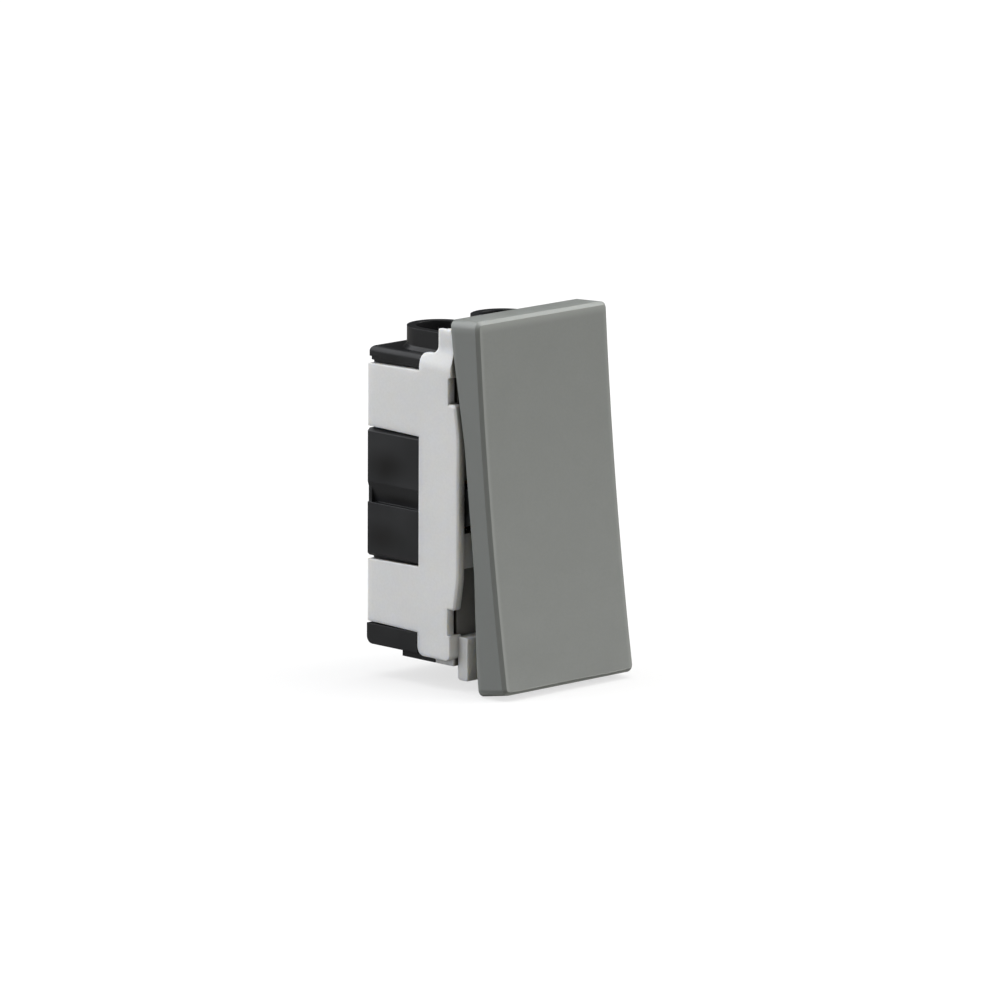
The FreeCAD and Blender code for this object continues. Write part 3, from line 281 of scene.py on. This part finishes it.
def moulded_plastic(name, colour, roughness, edge, cloud=0.05, grain=0.35, shine=0.5,
                    glow=0.0, reach=0.8 * MM, sink=0.0, painted_edge_highlight=1.0, painted_edge_highlight_width=0.4 * MM,
                    deep=None, painted_light_bands=(), painted_shade_ovals=()):
    """Moulded plastic with faint clouds of colour, fine grain, wear and softened edges.

    glow and reach are the light that the plastic lets in and how far, and sink is the depth of its
    sink waves. The rest paint light and shade into its colour: a painted highlight along its edges
    and its width, deep as the colour of painted shade in its recesses and over its inside, and each
    band and oval of painted light or painted shade.
    """
    build = Shader(name)
    clouds = build.noise(CLOUD_SIZE, 3.0, 0.55)
    specks = build.noise(SPECK_SIZE, 4.0, 0.6)
    wear = build.noise(WEAR_SIZE, 1.5, 0.5)
    tone = build.mix(build.spread(clouds, 0, 1), shade(colour, 1 - cloud), shade(colour, 1 + cloud))
    tone = build.mix(build.spread(specks, 0, SPECK_SHARE), tone, shade(colour, SPECK_SHADE))
    # Painted highlight: the edges are painted paler by this factor
    if painted_edge_highlight != 1.0:
        tone = build.mix(build.painted_edge_highlight(painted_edge_highlight_width), tone, shade(colour, painted_edge_highlight))
    # Each band is painted light or painted shade: paler along the paddle's edges, darker on the
    # housing's top and bottom
    for up, low, high, factor in painted_light_bands:
        tone = build.mix(build.height(up, low, high), tone, shade(colour, factor))
    # Each oval is painted shade: a dark patch painted as a dark reflection or as shade
    for middle, size, factor in painted_shade_ovals:
        tone = build.mix(build.oval(middle, size), tone, shade(colour, factor))
    # Painted shade: the frame's inside and its recesses are painted towards the deep colour
    if deep:
        tone = build.mix(build.inside(INSIDE_HALF, INSIDE_FRONT, INSIDE_SHADE_SHARE), tone, deep)
        tone = build.mix(build.shelter(RECESS_REACH), deep, tone)
    gloss = build.spread(wear, roughness - 0.05, roughness + 0.06)
    normal = build.soften(edge)
    if sink:
        normal = build.bump(build.waves(SINK_LENGTH), sink, 1.0, normal)
    normal = build.bump(specks, SPECK_DEPTH, grain, normal)
    build.link(tone, build.surface.inputs["Base Color"])
    build.link(gloss, build.surface.inputs["Roughness"])
    build.link(normal, build.surface.inputs["Normal"])
    build.set(IOR=PLASTIC_IOR, Specular_IOR_Level=shine)
    if glow:
        build.set(Subsurface_Weight=glow, Subsurface_Radius=PLASTIC_SCATTER, Subsurface_Scale=reach)
    return build.material


def worked_metal(name, colour, roughness, stretch, dull=0.82, edge=0.06 * MM):
    """Stamped or turned metal with drawn streaks, dull patches and softened edges."""
    build = Shader(name)
    streaks = build.noise(STREAK_SIZE, 5.0, 0.6, stretch)
    patches = build.noise(PATCH_SIZE, 3.0, 0.6)
    tone = build.mix(build.spread(patches, 0, PATCH_SHARE), colour, shade(colour, dull))
    gloss = build.spread(streaks, roughness - 0.08, roughness + 0.12)
    normal = build.bump(streaks, STREAK_DEPTH, 0.5, build.soften(edge))
    build.link(tone, build.surface.inputs["Base Color"])
    build.link(gloss, build.surface.inputs["Roughness"])
    build.link(normal, build.surface.inputs["Normal"])
    build.set(Metallic=1.0)
    return build.material


def dress(names, material):
    """Gives CAD nodes a finish."""
    for name in names:
        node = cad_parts[name]
        node.data.materials.clear()
        node.data.materials.append(material)


def outermost(name, way):
    """How far a CAD node reaches along a direction."""
    return max(way.dot(point.co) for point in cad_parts[name].data.vertices)


# Sizes and colours a user would change

def colour_property(name, description, default):
    return bpy.props.FloatVectorProperty(
        name=name, description=description, default=default,
        subtype="COLOR", size=3, min=0.0, max=1.0,
    )


def angle_property(name, description, degrees):
    return bpy.props.FloatProperty(
        name=name, description=description, default=math.radians(degrees), subtype="ANGLE",
    )


def share_property(name, description, default, low=0.0):
    return bpy.props.FloatProperty(
        name=name, description=description, default=default,
        subtype="FACTOR", min=low, max=1.0,
    )


def strength_property(name, description, default):
    return bpy.props.FloatProperty(name=name, description=description, default=default, min=0.0)


class SwitchFinish(bpy.types.PropertyGroup):
    """Colours and gloss of the switch's pieces."""

    paddle_colour: colour_property(
        "Paddle", "Colour of the rocker paddle", (0.212, 0.223, 0.213))
    frame_colour: colour_property(
        "Frame", "Colour of the clip-in frame", (0.86, 0.863, 0.848))
    # Painted shade: the colour painted in the frame's recesses and over its inside
    painted_recess_colour: colour_property(
        "Recesses", "Colour deep in the frame's recesses", (0.045, 0.039, 0.029))
    housing_colour: colour_property(
        "Housing", "Colour of the rear housing", (0.0195, 0.0205, 0.0225))
    carrier_colour: colour_property(
        "Carrier", "Colour of the rocker's inner part", (0.022, 0.022, 0.021))
    brass_colour: colour_property(
        "Brass", "Colour of the contact strips", (0.78, 0.56, 0.26))
    silver_colour: colour_property(
        "Contact tips", "Colour of the contact tips", (0.86, 0.86, 0.84))
    steel_colour: colour_property(
        "Steel", "Colour of screws, cages and spring", (0.62, 0.62, 0.61))
    paddle_roughness: share_property(
        "Paddle roughness", "Roughness of the paddle's satin surface", 0.42, low=0.05)
    edge_softness: bpy.props.FloatProperty(
        name="Edge softness", description="Radius over which moulded edges are softened",
        default=0.14 * MM, min=0.0, max=1.0 * MM, precision=5, unit="LENGTH",
    )


class SwitchStage(bpy.types.PropertyGroup):
    """Camera, floor and lights."""

    azimuth: angle_property(
        "Azimuth", "Camera's turn round the switch; 0 looks straight at the paddle", -44.8)
    elevation: angle_property(
        "Elevation", "Camera's height angle over the horizon", 11.0)
    roll: angle_property(
        "Roll", "Camera's turn about its own line of sight", 0.25)
    distance: bpy.props.FloatProperty(
        name="Distance", description="Distance from the camera to the switch",
        default=1.53, min=0.1, unit="LENGTH",
    )
    lens: bpy.props.FloatProperty(
        name="Lens", description="Focal length on a 36 mm wide sensor",
        default=415.6, min=10.0, subtype="DISTANCE_CAMERA",
    )
    floor_colour: colour_property(
        "Floor", "Colour of the floor as it shows", (0.28, 0.28, 0.28))
    floor_bounce: colour_property(
        "Floor bounce", "Light the floor throws back at the switch", (0.17, 0.165, 0.155))
    floor_glow: share_property(
        "Floor glow", "How much the floor shines by itself, which keeps shadows light", 0.68)
    right_colour: colour_property(
        "Right light", "Colour of the soft light at the right", (1.0, 0.995, 0.975))
    right_strength: strength_property(
        "Right strength", "Strength of the soft light at the camera's right", 2.62)
    left_colour: colour_property(
        "Left light", "Colour of the soft light at the left", (0.958, 0.968, 1.0))
    left_strength: strength_property(
        "Left strength", "Strength of the soft light at the camera's left", 2.8)
    top_colour: colour_property(
        "Top light", "Colour of the soft light above", (1.0, 1.0, 1.0))
    top_strength: strength_property(
        "Top strength", "Strength of the soft light above", 2.0)
    crest_colour: colour_property(
        "Crest light", "Colour of the light on the top edge", (1.0, 1.0, 1.0))
    crest_strength: strength_property(
        "Crest strength", "Strength of the narrower light that picks out the top edge", 0.45)
    fill_colour: colour_property(
        "Fill light", "Colour of the weak light from the camera's side", (1.0, 0.98, 0.94))
    fill_strength: strength_property(
        "Fill strength", "Strength of the weak light from the camera's side", 0.3)
    sky_strength: strength_property(
        "Surround", "Strength of the light from all round", 0.03)


# Operators, one for each piece or group of like pieces

class PaddleFinish(bpy.types.Operator):
    """Dress the grey rocker paddle"""

    bl_idname = "rocker_switch.paddle"
    bl_label = "Paddle"

    def execute(self, context):
        finish = context.scene.switch_finish
        # Paler strips painted as light along the paddle's sides, rear, top and bottom edges
        painted_light_bands = []
        for way, start, full, factor in PADDLE_PAINTED_LIGHT:
            end = outermost("rocker_paddle", way)
            painted_light_bands.append((way, end - start * MM, end - full * MM, factor))
        dress(["rocker_paddle"], moulded_plastic(
            "grey_paddle_plastic", finish.paddle_colour, finish.paddle_roughness,
            0.4 * finish.edge_softness, cloud=0.02, grain=0.2, glow=0.25,
            # painted highlight along the edges
            painted_edge_highlight=1.45, painted_edge_highlight_width=0.22 * MM, painted_light_bands=painted_light_bands,
        ))
        return {"FINISHED"}


class FrameFinish(bpy.types.Operator):
    """Dress the white clip-in frame"""

    bl_idname = "rocker_switch.frame"
    bl_label = "Frame"

    def execute(self, context):
        finish = context.scene.switch_finish
        # Painted shade darkens the frame's inside and recesses
        dress(["front_frame"], moulded_plastic(
            "white_frame_plastic", finish.frame_colour, 0.46,
            finish.edge_softness, cloud=0.015, grain=0.3, glow=0.85, reach=1.6 * MM,
            # painted highlight along the edges
            painted_edge_highlight=1.12, deep=finish.painted_recess_colour,
        ))
        return {"FINISHED"}


class HousingFinish(bpy.types.Operator):
    """Dress the black housing"""

    bl_idname = "rocker_switch.housing"
    bl_label = "Housing"

    def execute(self, context):
        finish = context.scene.switch_finish
        side = outermost("base_housing", RIGHT)
        # Dark oval patches painted as dark reflections on both side pads and as shade in the groove
        # between them
        painted_shade_ovals = [
            ((way * side, y * MM, z * MM), (PAD_PAINTED_SHADE_DEPTH, along * MM, up * MM), factor)
            for way in (-1, 1) for y, z, along, up, factor in PAD_PAINTED_SHADE
        ]
        # The housing's top and bottom are painted darker as painted shade
        dress(["base_housing"], moulded_plastic(
            "black_housing_plastic", finish.housing_colour, 0.35,
            finish.edge_softness, cloud=0.04, grain=0.03, shine=0.36, sink=0.06 * MM,
            # painted highlight along the edges
            painted_edge_highlight=1.2, painted_edge_highlight_width=0.2 * MM, painted_light_bands=HOUSING_PAINTED_SHADE, painted_shade_ovals=painted_shade_ovals,
        ))
        return {"FINISHED"}


class CarrierFinish(bpy.types.Operator):
    """Dress the rocker's inner part and the plunger"""

    bl_idname = "rocker_switch.carrier"
    bl_label = "Carrier and plunger"

    def execute(self, context):
        finish = context.scene.switch_finish
        dress(["rocker_carrier", "plunger"], moulded_plastic(
            "dark_carrier_plastic", finish.carrier_colour, 0.5,
            finish.edge_softness, cloud=0.1, grain=0.3,
        ))
        return {"FINISHED"}


class ContactFinish(bpy.types.Operator):
    """Dress the brass strips, the see-saw and the contact tips"""

    bl_idname = "rocker_switch.contacts"
    bl_label = "Contacts"

    def execute(self, context):
        finish = context.scene.switch_finish
        dress(
            ["contact_bridge", "common_strip", "line_one_strip", "line_two_strip"],
            worked_metal("stamped_brass", finish.brass_colour, 0.3, (1, 1, 0.12)),
        )
        dress(
            ["bridge_tip_upper", "bridge_tip_lower", "line_one_tip", "line_two_tip"],
            worked_metal("silver_tips", finish.silver_colour, 0.26, (1, 1, 1), dull=0.9),
        )
        return {"FINISHED"}


class TerminalFinish(bpy.types.Operator):
    """Dress the clamp cages, the terminal screws and the spring"""

    bl_idname = "rocker_switch.terminals"
    bl_label = "Terminals"

    def execute(self, context):
        finish = context.scene.switch_finish
        names = ("common", "line_one", "line_two")
        plated = worked_metal("plated_steel", finish.steel_colour, 0.34, (1, 1, 0.3))
        dress([f"{name}_cage" for name in names], plated)
        dress([f"{name}_screw" for name in names], plated)
        dress(["plunger_spring"], worked_metal(
            "spring_steel", shade(finish.steel_colour, 0.8), 0.28, (1, 0.3, 1), edge=0.03 * MM,
        ))
        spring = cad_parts["plunger_spring"]
        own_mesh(spring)
        return {"FINISHED"}


# The stage

def direction(azimuth, elevation):
    """Unit vector from the switch; azimuth 0 lies before the paddle."""
    return Vector((
        math.sin(azimuth) * math.cos(elevation),
        -math.cos(azimuth) * math.cos(elevation),
        math.sin(elevation),
    ))


def soft_light(name, stage, azimuth, elevation, width):
    """Makes a wide soft light, its angles in degrees as in LIGHTS."""
    data = bpy.data.lights.new(f"{name}_light", "SUN")
    data.angle = math.radians(width)
    data.energy = getattr(stage, f"{name}_strength")
    data.color = getattr(stage, f"{name}_colour")
    lamp = bpy.data.objects.new(f"{name}_light", data)
    towards = direction(stage.azimuth + math.radians(azimuth), math.radians(elevation))
    lamp.location = towards
    lamp.rotation_euler = (-towards).to_track_quat("-Z", "Y").to_euler()
    bpy.context.scene.collection.objects.link(lamp)


def floor_finish(stage):
    """Matt pale paper, lit from below: it shows at its full tone and throws back less light."""
    build = Shader("pale_floor")
    pulp = build.spread(build.noise(FLOOR_GRAIN), 0, 1)
    tone = build.mix(pulp, shade(stage.floor_colour, 0.995), stage.floor_colour)
    seen = build.add("ShaderNodeLightPath").outputs["Is Camera Ray"]
    colour = build.mix(seen, stage.floor_bounce, tone)
    glow = build.spread(seen, 0, stage.floor_glow, 0, 1)
    build.link(colour, build.surface.inputs["Base Color"])
    build.link(glow, build.surface.inputs["Emission Strength"])
    build.set(Roughness=0.9, Specular_IOR_Level=0.1, Emission_Color=(1, 1, 1, 1))
    return build.material


def make_floor(stage):
    """Makes the floor just below the switch."""
    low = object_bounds()[0]
    shape = bmesh.new()
    bmesh.ops.create_grid(shape, x_segments=1, y_segments=1, size=FLOOR_HALF)
    bmesh.ops.translate(shape, verts=shape.verts, vec=(0, 0, low[2] - FLOOR_GAP))
    mesh = bpy.data.meshes.new("studio_floor")
    shape.to_mesh(mesh)
    shape.free()
    floor = bpy.data.objects.new("studio_floor", mesh)
    mesh.materials.append(floor_finish(stage))
    bpy.context.scene.collection.objects.link(floor)
    floor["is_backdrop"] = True


def white_surround(strength):
    """World that shows as plain white and lights the switch from all round at its own strength."""
    world = bpy.data.worlds.new("white_surround")
    world.use_nodes = True
    nodes = world.node_tree.nodes
    glow = nodes["Background"]
    glow.inputs["Color"].default_value = (1, 1, 1, 1)
    seen = nodes.new("ShaderNodeLightPath").outputs["Is Camera Ray"]
    level = nodes.new("ShaderNodeMapRange")
    level.inputs["To Min"].default_value = strength
    level.inputs["To Max"].default_value = 1.0
    world.node_tree.links.new(seen, level.inputs["Value"])
    world.node_tree.links.new(level.outputs["Result"], glow.inputs["Strength"])
    return world


def make_camera(stage):
    """Makes the camera at the photograph's viewing angle, aimed a little beside the origin."""
    back = direction(stage.azimuth, stage.elevation)
    turn = (-back).to_track_quat("-Z", "Y") @ Quaternion((0, 0, 1), stage.roll)
    aim = turn @ Vector((AIM_RIGHT, AIM_UP, 0))
    data = bpy.data.cameras.new("photo_camera")
    data.sensor_fit = "HORIZONTAL"
    data.sensor_width = SENSOR_WIDTH
    data.lens = stage.lens
    data.clip_start = 0.05
    data.clip_end = 60
    camera = bpy.data.objects.new("photo_camera", data)
    camera.location = aim + back * stage.distance
    camera.rotation_mode = "QUATERNION"
    camera.rotation_quaternion = turn
    bpy.context.scene.collection.objects.link(camera)
    bpy.context.scene.camera = camera


class StudioStage(bpy.types.Operator):
    """Make the floor, the surround, the lights and the camera"""

    bl_idname = "rocker_switch.stage"
    bl_label = "Stage"

    def execute(self, context):
        stage = context.scene.switch_stage
        make_floor(stage)
        context.scene.world = white_surround(stage.sky_strength)
        context.scene.view_settings.view_transform = "Standard"
        for name, azimuth, elevation, width in LIGHTS:
            soft_light(name, stage, azimuth, elevation, width)
        make_camera(stage)
        return {"FINISHED"}


class SwitchPanel(bpy.types.Panel):
    """Lists the switch's pieces, finishes and stage"""

    bl_idname = "VIEW3D_PT_rocker_switch"
    bl_label = "Rocker switch"
    bl_space_type = "VIEW_3D"
    bl_region_type = "UI"
    bl_category = "Switch"

    def draw(self, context):
        for group in (context.scene.switch_finish, context.scene.switch_stage):
            column = self.layout.column(align=True)
            for name in group.__annotations__:
                column.prop(group, name)
        column = self.layout.column(align=True)
        for operator in OPERATORS:
            column.operator(operator.bl_idname)


OPERATORS = (
    PaddleFinish, FrameFinish, HousingFinish, CarrierFinish, ContactFinish, TerminalFinish,
    StudioStage,
)
CLASSES = (SwitchFinish, SwitchStage, *OPERATORS, SwitchPanel)


def register():
    for item in CLASSES:
        bpy.utils.register_class(item)
    bpy.types.Scene.switch_finish = bpy.props.PointerProperty(type=SwitchFinish)
    bpy.types.Scene.switch_stage = bpy.props.PointerProperty(type=SwitchStage)


def unregister():
    del bpy.types.Scene.switch_stage
    del bpy.types.Scene.switch_finish
    for item in reversed(CLASSES):
        bpy.utils.unregister_class(item)


def main():
    register()
    group = bpy.ops.rocker_switch
    for step in (group.paddle, group.frame, group.housing, group.carrier,
                 group.contacts, group.terminals, group.stage):
        step()


if __name__ == "__main__":
    main()
